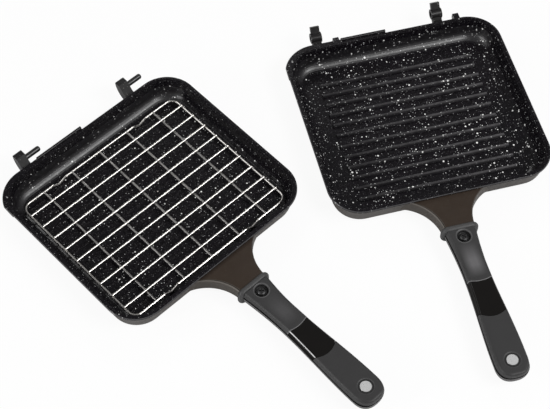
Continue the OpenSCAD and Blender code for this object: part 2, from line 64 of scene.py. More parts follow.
# The handle: its upper face, and the plane where the covers meet the lower shell
HANDLE_Y = GUARD_Y - GUARD_T
HANDLE_LEN = 168.0
HANDLE_GAP = 0.3
FACE_Z = PAN_H - HANDLE_GAP / 2
COVER_T = 7.4
PARTING_Z = FACE_Z - COVER_T
# Its widths, where its waist lies, and the length over which it swells to the grip
ROOT_W, WAIST_W, GRIP_W, WAIST_AT = 33.2, 27.0, 34.2, 53.0
SWELL_LEN = 94.0
# How much narrower the upper face is on each side, and the radius of its edges
FACE_IN = 1.1
EDGE_R = 3.4
# Its depth, the fullness of the section below the parting plane, and the share of the
# lower shell's depth that is left at the tip, reached over a share of the tip's length
ROOT_T, GRIP_T = 20.0, 18.0
BELLY = 0.64
TIP_DEPTH, TIP_RISE = 0.35, 0.6
# The tip: its length, where it starts, and its shape, where 2 is a half circle and more is blunter
TIP_LEN = GRIP_W / 2
TIP_FROM = HANDLE_LEN - TIP_LEN
BLUNT = 2.5
# The dish for the thumb: its depth and how far before the band it ends
DISH, DISH_END = 1.2, 4.0
# The bevel of the lower shell's upper edge, inwards and upwards, and its gap to the covers
BEVEL_IN, BEVEL_H, SHELL_GAP = 0.9, 0.5, 0.1

# The band and its seams, how far each seam bulges, and the rounding of the covers' ends
BAND_AT, BAND_LEN, SEAM = 62.0, 40.0, 0.2
COVER_BULGE, BAND_BULGE = 3, 5
END_ROUND = 0.25

# The screw's recess and the magnet, measured from the guard and from the tip
SCREW_AT = 8.5
RECESS_D, RECESS_T = 13.6, 4.6
SHANK_R, RECESS_FLOOR_R = 2.8, 1.4
MAGNET_D, MAGNET_AT = 12.0, 16.5
# Rims of the recess and of the magnet's seat: steps outwards and depths below the face
RECESS_RIM = ((0, 1.3), (0.25, 0.9), (0.8, 0.4), (1.6, 0.1), (2.6, -0.6))
MAGNET_RIM = ((0, 3.05), (0, 0.45), (0.5, 0.55), (1.7, 0.45), (2.1, 0.25), (2.5, 0.05), (2.9, -0.5))
MAGNET_PLAY = 0.1

# Half the width that a cover's last section keeps, at its foot and at its face
LEAST_FOOT, LEAST_FACE = 0.06, 0.05
# The handle's lofts: mm from ring to ring, then steps and degrees round the tip
STATION_STEP, TIP_STEPS, TIP_TURN = 1.5, 40, 89.0
# Parts of a cover's face and of its underside, and of the lower shell's section
TOP_PARTS, UNDER_PARTS, BELLY_STEPS = 12, 8, 40
# Steps of the guard's bead and corners, and of the bracket's edges
BEAD_STEPS, CORNER_STEPS, EDGE_STEPS = 12, 8, 6
# The signs of x and z in the four corners of a section, in turning order
CORNERS = ((1, 1), (-1, 1), (-1, -1), (1, -1))

# ------------------------------------------------------------------ places, m
# The middle of the right half's base, and how far that half is turned
RIGHT_MIDDLE, RIGHT_TURN = (0.272886, -0.115788, 0), math.radians(-29)
RIGHT_PLACE = Matrix.Translation(RIGHT_MIDDLE) @ Matrix.Rotation(RIGHT_TURN, 4, "Z")
# The handles lie beside the pans' middle lines by this much, in mm
HANDLE_SHIFT = 2.2
# Where each half's handle frame lies
HALVES = {
    "left": Matrix.Translation((HANDLE_SHIFT * MM, 0, 0)),
    "right": RIGHT_PLACE @ Matrix.Translation((-HANDLE_SHIFT * MM, 0, 0)),
}

# ------------------------------------------------------------------ finish, m
# The coat: half of what the pans are wider than deep, where their walls begin, the height
# up to which the outside is plain, the rim where specks thin out, and where the rim's edges get a painted
# highlight
WIDER, WALL_FROM, PLAIN_BELOW = 0.010, 0.092, 0.0252
RIM_FROM, RIM_TO, RIM_LIT_FROM = 0.0255, 0.0262, 0.0268
# Below this height the back wall's curve into the floor catches the light
CURVE_BELOW = 0.0200
# The ribs and the painted highlight on their tops: the heights they lie between, and half the field that
# they fill
RIB_FOOT, RIB_LIT_FROM, RIB_LIT_TO, RIB_TOP = 0.0046, 0.0060, 0.0068, 0.0074
RIBS_X, RIBS_Y = 0.089, 0.084
# The bracket's painted lines, measured from its left side: painted highlight on the edge, painted shade of a
# groove and painted highlight beside it; then the painted highlight on its right edge
LIT_EDGE_TO, GROOVE_SHADE_TO, LIT_SIDE_TO = 0.0014, 0.0022, 0.0028
RIGHT_LIT_EDGE = 0.0012
# How far below the bracket's top the painted light on its flanks begins, in mm
FLANK_DROP = 1.0
# The painted highlight in the thumb's dish, along the handle and across it
DISH_RISE, DISH_FALL, DISH_WIDE = (0.016, 0.036), (0.057, 0.043), (0.0105, 0.003)
# Round the screw: painted shade in the well and a painted highlight on the ring; the pale line before the
# band, in mm
WELL_R, RING_FROM, RING_TO = 0.0066, 0.0072, 0.0084
BAND_LINE = 0.75
# Round the magnet: painted shade on its edge and in the groove, and a painted highlight on the ring
EDGE_SHADE_FROM, EDGE_SHADE_TO = 0.0054, 0.0059
GROOVE_R, PALE_FROM, PALE_TO = 0.0077, 0.0079, 0.0088
# The painted shade along the line between covers and lower shell: how far below and above the plane, in mm
SHADE_BELOW, SHADE_ABOVE = 0.8, 1.4


def seam_radius(bulge):
    """Radius of a seam that bulges that far over the waist's width."""
    return ((WAIST_W / 2) ** 2 + bulge * bulge) / (2 * bulge)


# ------------------------------------------------------------------ materials
class Paint:
    """A procedural material, built node by node."""

    def __init__(self, name, half=None):
        self.material = bpy.data.materials.new(name)
        self.material.use_nodes = True
        self.tree = self.material.node_tree
        self.tree.nodes.clear()
        self.out = self.node("ShaderNodeOutputMaterial")
        self.shader = self.node("ShaderNodeBsdfPrincipled")
        self.link(self.shader.outputs[0], self.out.inputs["Surface"])
        self.coords = self.node("ShaderNodeTexCoord")
        self.where = self.coords.outputs["Object"]
        if half == "right":
            mapping = self.node("ShaderNodeMapping", vector_type="TEXTURE")
            mapping.inputs["Location"].default_value = RIGHT_PLACE.to_translation()
            mapping.inputs["Rotation"].default_value = RIGHT_PLACE.to_euler()
            self.link(self.where, mapping.inputs["Vector"])
            self.where = mapping.outputs[0]

    def node(self, kind, **settings):
        node = self.tree.nodes.new(kind)
        for key, value in settings.items():
            setattr(node, key, value)
        return node

    def link(self, source, target):
        self.tree.links.new(source, target)

    def feed(self, socket, value):
        if isinstance(value, bpy.types.NodeSocket):
            self.link(value, socket)
        else:
            socket.default_value = value

    def math(self, operation, a, b=None):
        node = self.node("ShaderNodeMath", operation=operation)
        for socket, value in zip(node.inputs, (a, b)):
            if value is not None:
                self.feed(socket, value)
        return node.outputs[0]

    def on_handle(self, half):
        """Across the handle, along it from the guard and up, in metres."""
        x, y, z = self.split(self.where)
        across = self.math("SUBTRACT", x, HANDLE_SHIFT * MM * (1 if half == "left" else -1))
        return across, self.math("SUBTRACT", HANDLE_Y * MM, y), z

    def between(self, value, low, high):
        """1 where value lies between low and high."""
        above = self.math("GREATER_THAN", value, low)
        below = self.math("LESS_THAN", value, high)
        return self.math("MULTIPLY", above, below)

    def split(self, vector):
        node = self.node("ShaderNodeSeparateXYZ")
        self.link(vector, node.inputs[0])
        return node.outputs

    def noise(self, scale, detail=3.0, roughness=0.5):
        node = self.node("ShaderNodeTexNoise")
        self.link(self.where, node.inputs["Vector"])
        node.inputs["Scale"].default_value = scale
        node.inputs["Detail"].default_value = detail
        node.inputs["Roughness"].default_value = roughness
        return node.outputs["Fac"]

    def span(self, value, low, high, to_low=0.0, to_high=1.0):
        """to_low to to_high as value goes from low to high, and no further."""
        node = self.node("ShaderNodeMapRange")
        node.clamp = True
        for socket, number in zip(node.inputs, (value, low, high, to_low, to_high)):
            self.feed(socket, number)
        return node.outputs[0]

    def mix(self, share, a, b):
        node = self.node("ShaderNodeMix", data_type="RGBA")
        self.feed(node.inputs["Factor"], share)
        for socket, value in ((node.inputs[6], a), (node.inputs[7], b)):
            self.feed(socket, (*value, 1.0) if isinstance(value, tuple) else value)
        return node.outputs[2]

    def specks(self, scale, radius, share):
        """1 inside scattered round specks up to radius metres, in that share of the cells."""
        node = self.node("ShaderNodeTexVoronoi", feature="F1")
        self.link(self.where, node.inputs["Vector"])
        node.inputs["Scale"].default_value = scale
        cell = self.node("ShaderNodeSeparateColor")
        self.link(node.outputs["Color"], cell.inputs[0])
        size = self.math("MULTIPLY", self.span(cell.outputs[0], 1 - share, 1.0, -0.2, 1.0), radius * scale)
        return self.span(self.math("SUBTRACT", size, node.outputs["Distance"]), 0.0, 0.25 * radius * scale)

    def bump(self, height, strength, distance):
        node = self.node("ShaderNodeBump")
        node.inputs["Strength"].default_value = strength
        node.inputs["Distance"].default_value = distance
        self.link(height, node.inputs["Height"])
        self.link(node.outputs[0], self.shader.inputs["Normal"])

    def set(self, **values):
        for key, value in values.items():
            socket = self.shader.inputs[key.replace("_", " ")]
            self.feed(socket, (*value, 1.0) if isinstance(value, tuple) else value)


def coat_paint(half):
    """Speckled black inside and over the rim, plain brown-grey outside."""
    p = Paint("coat_" + half, half)
    x, y, z = p.split(p.where)
    reach = p.math("MAXIMUM", p.math("SUBTRACT", p.math("ABSOLUTE", x), WIDER), p.math("ABSOLUTE", y))
    flat = p.node("ShaderNodeCombineXYZ")
    if half == "right":
        turn = p.node("ShaderNodeVectorRotate", rotation_type="Z_AXIS", invert=True)
        turn.inputs["Angle"].default_value = RIGHT_PLACE.to_euler().z
        p.link(p.coords.outputs["Normal"], turn.inputs["Vector"])
        normal = turn.outputs[0]
    else:
        normal = p.coords.outputs["Normal"]
    p.link(x, flat.inputs[0])
    p.link(y, flat.inputs[1])
    facing = p.node("ShaderNodeVectorMath", operation="DOT_PRODUCT")
    p.link(flat.outputs[0], facing.inputs[0])
    p.link(normal, facing.inputs[1])
    outward = p.math("GREATER_THAN", facing.outputs["Value"], 0.01)
    at_wall = p.math("GREATER_THAN", reach, WALL_FROM)
    below_rim = p.math("LESS_THAN", z, PLAIN_BELOW)
    outer_wall = p.math("MULTIPLY", p.math("MULTIPLY", outward, at_wall), below_rim)
    underside = p.math("MULTIPLY", p.math("LESS_THAN", p.split(normal)[2], -0.25), below_rim)
    outside = p.math("MAXIMUM", outer_wall, underside)
    speck_size = 1.0 if half == "right" else 0.8
    on_rim = p.span(z, RIM_FROM, RIM_TO, 1.0, 0.35)
    big = p.math("MULTIPLY", p.specks(215, 0.00125 * speck_size, 0.6), on_rim)
    fine = p.math("MULTIPLY", p.specks(430, 0.00078 * speck_size, 0.85), on_rim)
    dust = p.specks(800, 0.00042, 0.85)
    grain = p.span(p.noise(420, 4, 0.7), 0.35, 0.65)
    black = p.mix(grain, (0.0018, 0.0014, 0.0021), (0.0085, 0.0072, 0.0095))
    if half == "right":
        # Painted highlight: the ribs' tops are painted lighter, their sides more faintly
        on_rib = p.span(z, RIB_LIT_FROM, RIB_LIT_TO, 0.3, 1.0)
        on_rib = p.math("MULTIPLY", on_rib, p.between(z, RIB_FOOT, RIB_TOP))
        on_rib = p.math("MULTIPLY", on_rib, p.math("LESS_THAN", p.math("ABSOLUTE", x), RIBS_X))
        on_rib = p.math("MULTIPLY", on_rib, p.math("LESS_THAN", p.math("ABSOLUTE", y), RIBS_Y))
        # The painted highlight on the ribs is brighter towards the right
        rib_highlight = p.span(x, -0.08, 0.08, 0.35, 1.0)
        rib_highlight = p.math("MULTIPLY", rib_highlight, p.span(p.noise(160, 3), 0.3, 0.6, 0.55, 1.0))
        black = p.mix(p.math("MULTIPLY", on_rib, rib_highlight), black, (0.085, 0.082, 0.086))
    # Painted highlight along the rim's slanted edges
    slanted = p.between(p.split(normal)[2], 0.3, 0.95)
    rim_highlight = p.math("MULTIPLY", p.math("GREATER_THAN", z, RIM_LIT_FROM), slanted)
    black = p.mix(p.math("MULTIPLY", rim_highlight, 0.8), black, (0.085, 0.083, 0.086))
    black = p.mix(p.math("MULTIPLY", dust, 0.6), black, (0.15, 0.147, 0.15))
    black = p.mix(p.math("MULTIPLY", fine, 0.85), black, (0.55, 0.55, 0.55))
    black = p.mix(big, black, (0.95, 0.95, 0.93))
    brown = p.mix(p.noise(90, 5), (0.034, 0.027, 0.022), (0.047, 0.038, 0.032))
    brown = p.mix(p.math("MULTIPLY", dust, 0.15), brown, (0.12, 0.10, 0.09))
    color = p.mix(outside, black, brown)
    rough = p.span(p.noise(400, 2), 0.3, 0.7, 0.22, 0.29)
    curve = p.math("MULTIPLY", p.span(p.split(normal)[2], 0.985, 0.93), p.math("LESS_THAN", z, CURVE_BELOW))
    curve = p.math("MULTIPLY", curve, p.span(p.split(normal)[1], -0.05, -0.3))
    rough = p.math("ADD", rough, p.math("MULTIPLY", curve, 0.12))
    rough = p.math("ADD", rough, p.math("MULTIPLY", outside, 0.12))
    shine = p.math("ADD", 0.2, p.math("MULTIPLY", curve, 0.5))
    p.set(Base_Color=color, Roughness=rough, Specular_IOR_Level=shine)
    p.bump(p.noise(900, 3), 0.12, 0.0003)
    return p.material


def bracket_paint(half):
    """Brown top with painted highlights on its edges, painted shade of a groove, and painted light on its
    flanks.
    """
    p = Paint("bracket_" + half, half)
    across, along, z = p.on_handle(half)
    bend = p.math("ADD", along, 0.5 * GUARD_T * MM)
    bend = p.math("MULTIPLY", bend, bend)
    reach = p.math("SQRT", p.math("SUBTRACT", (BRACKET_CURVE_R * MM) ** 2, bend))
    half_w = p.math("SUBTRACT", (BRACKET_W / 2 + BRACKET_CURVE_R) * MM, reach)
    left = p.math("ADD", half_w, across)
    right = p.math("SUBTRACT", half_w, across)
    color = p.mix(p.noise(70, 5), (0.028, 0.0185, 0.0125), (0.037, 0.0255, 0.018))
    color = p.mix(p.math("MULTIPLY", p.specks(700, 0.0004, 0.8), 0.3), color, (0.10, 0.085, 0.075))
    # Painted highlights on both edges, beside a line of painted groove shade
    color = p.mix(p.between(left, GROOVE_SHADE_TO, LIT_SIDE_TO), color, (0.070, 0.060, 0.050))
    color = p.mix(p.between(left, LIT_EDGE_TO, GROOVE_SHADE_TO), color, (0.009, 0.007, 0.005))
    color = p.mix(p.math("LESS_THAN", left, LIT_EDGE_TO), color, (0.125, 0.112, 0.100))
    color = p.mix(p.math("LESS_THAN", right, RIGHT_LIT_EDGE), color, (0.060, 0.051, 0.044))
    # Painted light: the flanks are painted paler, as lit sides
    lit_flank = p.math("LESS_THAN", z, (BRACKET_TOP - FLANK_DROP) * MM)
    flank_light = p.mix(p.noise(110, 4), (0.050, 0.042, 0.035), (0.068, 0.058, 0.049))
    color = p.mix(lit_flank, color, flank_light)
    rough = p.span(p.noise(300, 3), 0.3, 0.7, 0.34, 0.46)
    p.set(Base_Color=color, Roughness=rough, Specular_IOR_Level=0.28)
    p.bump(p.noise(1200, 3), 0.15, 0.0003)
    return p.material


def hinge_paint():
    """The pan's coat on lugs and knuckles, with fine specks alone."""
    p = Paint("hinge_coat")
    color = p.mix(p.noise(110, 5), (0.007, 0.0065, 0.0068), (0.014, 0.013, 0.0133))
    color = p.mix(p.math("MULTIPLY", p.specks(420, 0.0007, 0.8), 0.7), color, (0.22, 0.22, 0.21))
    rough = p.span(p.noise(300, 3), 0.3, 0.7, 0.28, 0.4)
    p.set(Base_Color=color, Roughness=rough, Specular_IOR_Level=0.28)
    p.bump(p.noise(1200, 3), 0.15, 0.0003)
    return p.material


def soft_plastic(p, color, shade=None):
    """Soft plastic. Where shade is 1, painted shade of the groove keeps it dark and without shine."""
    shine = 0.5
    if shade is not None:
        # Painted shade along the parting line
        color = p.mix(shade, color, (0.004, 0.004, 0.004))
        shine = p.span(shade, 0.0, 1.0, 0.5, 0.02)
    p.set(Base_Color=color, Roughness=p.span(p.noise(500, 3), 0.3, 0.7, 0.48, 0.6), Specular_IOR_Level=shine)
    p.bump(p.noise(2600, 4), 0.25, 0.0002)
    return p.material


def plain_plastic_paint(name, dark, light):
    """Soft plastic that is mottled a little between two tones."""
    p = Paint(name)
    return soft_plastic(p, p.mix(p.noise(120, 6, 0.6), dark, light))


def parting_shade(p, z):
    """1 along the line where the cover meets the lower shell, where shade is painted."""
    return p.between(z, (PARTING_Z - SHADE_BELOW) * MM, (PARTING_Z + SHADE_ABOVE) * MM)


def away_from(p, along, across, place):
    """Distance from a point on the handle's middle line."""
    step = p.math("SUBTRACT", along, place * MM)
    return p.math("SQRT", p.math("ADD", p.math("MULTIPLY", step, step), p.math("MULTIPLY", across, across)))


def base_paint(half):
    """Paler soft plastic, with painted shade along the parting line."""
    p = Paint("base_" + half, half)
    z = p.split(p.where)[2]
    color = p.mix(p.noise(120, 6, 0.6), (0.090, 0.088, 0.089), (0.115, 0.113, 0.114))
    return soft_plastic(p, color, parting_shade(p, z))


def cover_paint(half):
    """Soft plastic, with a painted highlight where the thumb rests in the dish, painted shade in the screw's
    well and a painted highlight on the ring round it.
    """
    p = Paint("cover_" + half, half)
    across, along, z = p.on_handle(half)
    color = p.mix(p.noise(120, 6, 0.6), (0.021, 0.0205, 0.021), (0.027, 0.0265, 0.027))
    # Painted highlight in the thumb's dish, stronger on the right handle
    dish = p.math("MULTIPLY", p.span(along, *DISH_RISE), p.span(along, *DISH_FALL))
    dish = p.math("MULTIPLY", dish, p.span(p.math("ABSOLUTE", across), *DISH_WIDE))
    dish = p.math("MULTIPLY", dish, 1.0 if half == "right" else 0.3)
    color = p.mix(dish, color, (0.115, 0.112, 0.116))
    away = away_from(p, along, across, SCREW_AT)
    # Painted highlight on the recess's ring, painted shade in its well
    color = p.mix(p.between(away, RING_FROM, RING_TO), color, (0.070, 0.069, 0.070))
    color = p.mix(p.between(away, 0.0, WELL_R), color, (0.010, 0.010, 0.010))
    bow = seam_radius(COVER_BULGE) * MM
    inside = p.math("SUBTRACT", bow * bow, p.math("MULTIPLY", across, across))
    drop = p.math("SUBTRACT", bow, p.math("SQRT", inside))
    seam = p.math("ADD", along, drop)
    color = p.mix(p.math("GREATER_THAN", seam, (BAND_AT - BAND_LINE) * MM), color, (0.16, 0.157, 0.16))
    return soft_plastic(p, color, parting_shade(p, z))


def grip_paint(half):
    """Soft plastic with painted shade in the groove and a painted highlight on the raised ring round the
    magnet.
    """
    p = Paint("grip_" + half, half)
    across, along, z = p.on_handle(half)
    color = p.mix(p.noise(120, 6, 0.6), (0.020, 0.0195, 0.020), (0.026, 0.0255, 0.026))
    away = away_from(p, along, across, HANDLE_LEN - MAGNET_AT)
    # Painted shade in the magnet's groove, painted highlight on the ring
    color = p.mix(p.between(away, 0.0, GROOVE_R), color, (0.005, 0.005, 0.005))
    color = p.mix(p.between(away, PALE_FROM, PALE_TO), color, (0.042, 0.041, 0.042))
    return soft_plastic(p, color, parting_shade(p, z))


def magnet_paint(half):
    """Bright nickel, with painted shade round its edge."""
    p = Paint("magnet_" + half, half)
    across, along, _ = p.on_handle(half)
    color = p.mix(p.noise(1400, 5, 0.6), (0.50, 0.50, 0.50), (0.86, 0.86, 0.86))
    away = away_from(p, along, across, HANDLE_LEN - MAGNET_AT)
    # Painted shade round the magnet's edge
    color = p.mix(p.span(away, EDGE_SHADE_FROM, EDGE_SHADE_TO), color, (0.05, 0.05, 0.05))
    p.set(Base_Color=color, Metallic=0.45, Roughness=p.span(p.noise(840, 3), 0.3, 0.7, 0.25, 0.4))
    p.bump(p.noise(2800, 3), 0.1, 0.0002)
    return p.material


def gloss_paint():
    """Polished black, with its shine on the upper face alone."""
    p = Paint("gloss_band")
    color = p.mix(p.noise(80, 4), (0.0030, 0.0024, 0.0020), (0.0048, 0.0040, 0.0034))
    shine = p.span(p.split(p.coords.outputs["Normal"])[2], 0.3, 0.6, 0.03, 0.32)
    rough = p.span(p.noise(300, 3), 0.3, 0.7, 0.06, 0.10)
    p.set(Base_Color=color, Roughness=rough, Specular_IOR_Level=shine)
    p.bump(p.noise(500, 2), 0.03, 0.0002)
    return p.material


def metal_paint(name, dark, light, rough_low, rough_high):
    """Metal that is mottled a little between two tones."""
    scale = 900
    p = Paint(name)
    color = p.mix(p.noise(scale, 5, 0.6), dark, light)
    rough = p.span(p.noise(scale * 0.6, 3), 0.3, 0.7, rough_low, rough_high)
    p.set(Base_Color=color, Metallic=1.0, Roughness=rough)
    p.bump(p.noise(scale * 2, 3), 0.1, 0.0002)
    return p.material


PAINTS = {
    "coat_left": coat_paint("left"),
    "coat_right": coat_paint("right"),
    "bracket_left": bracket_paint("left"),
    "bracket_right": bracket_paint("right"),
    "hinge": hinge_paint(),
    "cover_left": cover_paint("left"),
    "cover_right": cover_paint("right"),
    "grip_left": grip_paint("left"),
    "grip_right": grip_paint("right"),
    "base_left": base_paint("left"),
    "base_right": base_paint("right"),
    "guard": plain_plastic_paint("guard_plastic", (0.042, 0.0415, 0.042), (0.054, 0.0535, 0.054)),
    "gloss": gloss_paint(),
    "pin": metal_paint("pin_steel", (0.04, 0.04, 0.041), (0.08, 0.08, 0.08), 0.3, 0.42),
    "screw": metal_paint("screw_steel", (0.050, 0.050, 0.051), (0.095, 0.095, 0.096), 0.34, 0.46),
    "magnet_left": magnet_paint("left"),
    "magnet_right": magnet_paint("right"),
    "bar": metal_paint("bar_wire", (0.60, 0.58, 0.55), (0.74, 0.72, 0.69), 0.2, 0.32),
    "cross": metal_paint("cross_wire", (0.19, 0.185, 0.18), (0.30, 0.29, 0.28), 0.24, 0.36),
}

NODE_PAINT = {
    "left_pan": "coat_left", "right_pan": "coat_right",
    "rack_border": "bar", "rack_bars": "bar", "rack_cross_wires": "cross",
    "left_magnet": "magnet_left", "right_magnet": "magnet_right",
}
for word, paint in (("lug", "hinge"), ("knuckle", "hinge"), ("_pin_", "pin"), ("screw", "screw")):
    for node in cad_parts:
        if word in node:
            NODE_PAINT[node] = paint
for node, paint in NODE_PAINT.items():
    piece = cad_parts[node]
    piece.data.materials.clear()
    piece.data.materials.append(PAINTS[paint])


# ------------------------------------------------------------------ mesh tools
def apply_modifiers(piece):
    """Turn a piece's modifiers into its mesh."""
    graph = bpy.context.evaluated_depsgraph_get()
    mesh = bpy.data.meshes.new_from_object(piece.evaluated_get(graph))
    old = piece.data
    piece.modifiers.clear()
    piece.data = mesh
    bpy.data.meshes.remove(old)


def new_object(name, half, points, faces):
    """A mesh object from points in millimetres in a half's own frame."""
    mesh = bpy.data.meshes.new(name)
    place = HALVES[half]
    mesh.from_pydata([place @ (Vector(p) * MM) for p in points], [], faces)
    bm = bmesh.new()
    bm.from_mesh(mesh)
    bmesh.ops.remove_doubles(bm, verts=bm.verts, dist=1e-7)
    bmesh.ops.recalc_face_normals(bm, faces=bm.faces)
    bm.to_mesh(mesh)
    bm.free()
    piece = bpy.data.objects.new(name, mesh)
    bpy.context.scene.collection.objects.link(piece)
    return piece


def finish_piece(piece, half, paint, node, angle):
    """Paint a piece, smooth it up to that angle and let it stand for its node."""
    piece.data.materials.clear()
    piece.data.materials.append(PAINTS[paint])
    for polygon in piece.data.polygons:
        polygon.use_smooth = True
        polygon.material_index = 0
    piece.data.set_sharp_from_angle(angle=math.radians(angle))
    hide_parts(node)
    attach(piece, half + "_half")


def loft(rings):
    """Points and faces of a closed body through rings of equal length."""
    count = len(rings[0])
    points = [p for ring in rings for p in ring]
    faces = []
    for i in range(len(rings) - 1):
        for j in range(count):
            k = (j + 1) % count
            faces.append((i * count + j, i * count + k, (i + 1) * count + k, (i + 1) * count + j))
    faces.append(tuple(range(count)))
    faces.append(tuple((len(rings) - 1) * count + j for j in range(count)))
    return points, faces


def lathe(profile, centre, sides=64):
    """Points and faces of a body turned about an upright axis at centre."""
    x, y = centre
    turns = [2 * math.pi * k / sides for k in range(sides)]
    return loft([[(x + r * math.cos(a), y + r * math.sin(a), z) for a in turns] for r, z in profile])


def carve(piece, half, body):
    """Cut a body, given as points and faces, out of a piece."""
    cutter = new_object("cutter", half, *body)
    change = piece.modifiers.new("cut", "BOOLEAN")
    change.operation = "DIFFERENCE"
    change.solver = "EXACT"
    change.object = cutter
    apply_modifiers(piece)
    mesh = cutter.data
    bpy.data.objects.remove(cutter)
    bpy.data.meshes.remove(mesh)


# ------------------------------------------------------------------ handles
def smooth_step(t):
    """0 to 1 as t goes from 0 to 1, level at both ends."""
    t = min(1.0, max(0.0, t))
    return (3 - 2 * t) * t * t


def half_width(s):
    """Half the handle's width at s from the guard, without its round tip."""
    if s < WAIST_AT:
        return WAIST_W / 2 + (ROOT_W - WAIST_W) / 2 * (1 - s / WAIST_AT) ** 2
    return WAIST_W / 2 + (GRIP_W - WAIST_W) / 2 * smooth_step((s - WAIST_AT) / SWELL_LEN)


def closing(s, length):
    """1 along the handle, down to 0 over the last length of it."""
    u = max(0.0, s - (HANDLE_LEN - length)) / length
    return max(0.0, 1 - u ** BLUNT) ** (1 / BLUNT)


def upper_z(s):
    """Height of the handle's upper face."""
    dish_len = BAND_AT - DISH_END
    dished = DISH * math.sin(math.pi * s / dish_len) ** 2 if s < dish_len else 0
    return FACE_Z - EDGE_R * (1 - closing(s, EDGE_R)) - dished


def under_z(s):
    """Height of the handle's underside."""
    deep = ROOT_T + (GRIP_T - ROOT_T) * smooth_step(s / WAIST_AT)
    kept = TIP_DEPTH + (1 - TIP_DEPTH) * closing(s, TIP_LEN * TIP_RISE)
    return PARTING_Z - (deep - COVER_T) * kept


def stations(start, end):
    """Distances from the guard, closer together where the tip turns."""
    out = []
    s = start
    while s < min(end, TIP_FROM):
        out.append(s)
        s += STATION_STEP
    if end <= TIP_FROM:
        return out + [end]
    for step in range(TIP_STEPS + 1):
        a = math.radians(step * TIP_TURN / TIP_STEPS)
        out.append(TIP_FROM + TIP_LEN * math.sin(a) ** (2 / BLUNT))
    return out


def cover_ring(s, shrink=0.0, flat_edge=False):
    """Points (x, z) of a cover's section: from the right over the top, then back along the plane."""
    # A flat edge has one wide facet in its middle
    turns = (0, 9, 18, 27, 36, 54, 63, 72, 81, 90) if flat_edge else (0, 11, 22, 34, 45, 56, 68, 79, 90)
    wide = max(LEAST_FOOT, half_width(s) * closing(s, TIP_LEN) - shrink)
    w = max(LEAST_FACE, (half_width(s) - FACE_IN) * closing(s, TIP_LEN) - shrink)
    z = upper_z(s) - shrink
    r = min(EDGE_R, w * 0.8)
    low = PARTING_Z + shrink * 0.5
    ring = [(wide, low), ((wide + w) / 2, (low + z - r) / 2)]
    for turn in turns:
        a = math.radians(turn)
        ring.append((w - r + r * math.cos(a), z - r + r * math.sin(a)))
    for k in range(1, TOP_PARTS):
        ring.append(((w - r) * (1 - 2 * k / TOP_PARTS), z))
    for turn in turns:
        a = math.radians(90 + turn)
        ring.append((r - w + r * math.cos(a), z - r + r * math.sin(a)))
    ring += [(-(wide + w) / 2, (low + z - r) / 2), (-wide, low)]
    ring += [(-wide * (1 - 2 * k / UNDER_PARTS), low) for k in range(1, UNDER_PARTS)]
    return ring


def seam_back(x, bulge):
    """How much closer to the guard a seam lies at x than at the middle."""
    if not bulge:
        return 0
    r = seam_radius(bulge)
    return r - math.sqrt(max(0.0, r * r - x * x))


def cover_piece(name, half, start, end, start_bulge, end_bulge, flat_edge=False):
    """A closed stretch of the upper cover between two seams, or from one to the tip."""
    marks = stations(start, end)
    plan = [(marks[0], END_ROUND), (marks[0] + END_ROUND, 0.0)] + [(m, 0.0) for m in marks[1:-1]]
    if end < TIP_FROM:
        plan += [(marks[-1] - END_ROUND, 0.0), (marks[-1], END_ROUND)]
    else:
        plan += [(marks[-1], 0.0)]
    rows = []
    for s, shrink in plan:
        t = (s - start) / (end - start)
        ring = []
        for x, z in cover_ring(s, shrink, flat_edge):
            back = (1 - t) * seam_back(x, start_bulge) + t * seam_back(x, end_bulge)
            ring.append((x, HANDLE_Y - s + back, z))
        rows.append(ring)
    return new_object(name, half, *loft(rows))


def base_piece(name, half):
    """The lower shell: a full belly below a bevelled upper edge."""
    top = PARTING_Z - SHELL_GAP
    side = top - BEVEL_H
    rows = []
    for s in stations(0.0, HANDLE_LEN):
        y = HANDLE_Y - s
        w = half_width(s) * closing(s, TIP_LEN)
        inner = w - min(BEVEL_IN, w / 2)
        deep = side - under_z(s)
        ring = [(-inner, y, top)]
        for k in range(BELLY_STEPS + 1):
            a = math.pi * (1 + k / BELLY_STEPS)
            c, d = math.cos(a), math.sin(a)
            x = w * math.copysign(abs(c) ** BELLY, c)
            ring.append((x, y, side + deep * math.copysign(abs(d) ** BELLY, d)))
        ring.append((inner, y, top))
        rows.append(ring)
    return new_object(name, half, *loft(rows))


def guard_piece(name, half):
    """A rounded collar: a rounded rectangle swept through half a bead."""
    r = GUARD_T / 2
    rings = []
    for step in range(BEAD_STEPS + 1):
        a = math.radians(-90 + 180 * step / BEAD_STEPS)
        inset = r * (1 - math.cos(a))
        y = GUARD_Y - r + r * math.sin(a)
        hx, hz, corner = GUARD_W / 2 - inset, GUARD_H / 2 - inset, GUARD_CORNER - inset
        ring = []
        for quarter, (sx, sz) in enumerate(CORNERS):
            for k in range(CORNER_STEPS + 1):
                b = math.radians(90 * quarter + 90 * k / CORNER_STEPS)
                x = sx * (hx - corner) + corner * math.cos(b)
                z = FACE_Z - GUARD_H / 2 + sz * (hz - corner) + corner * math.sin(b)
                ring.append((x, y, z))
        rings.append(ring)
    return new_object(name, half, *loft(rings))


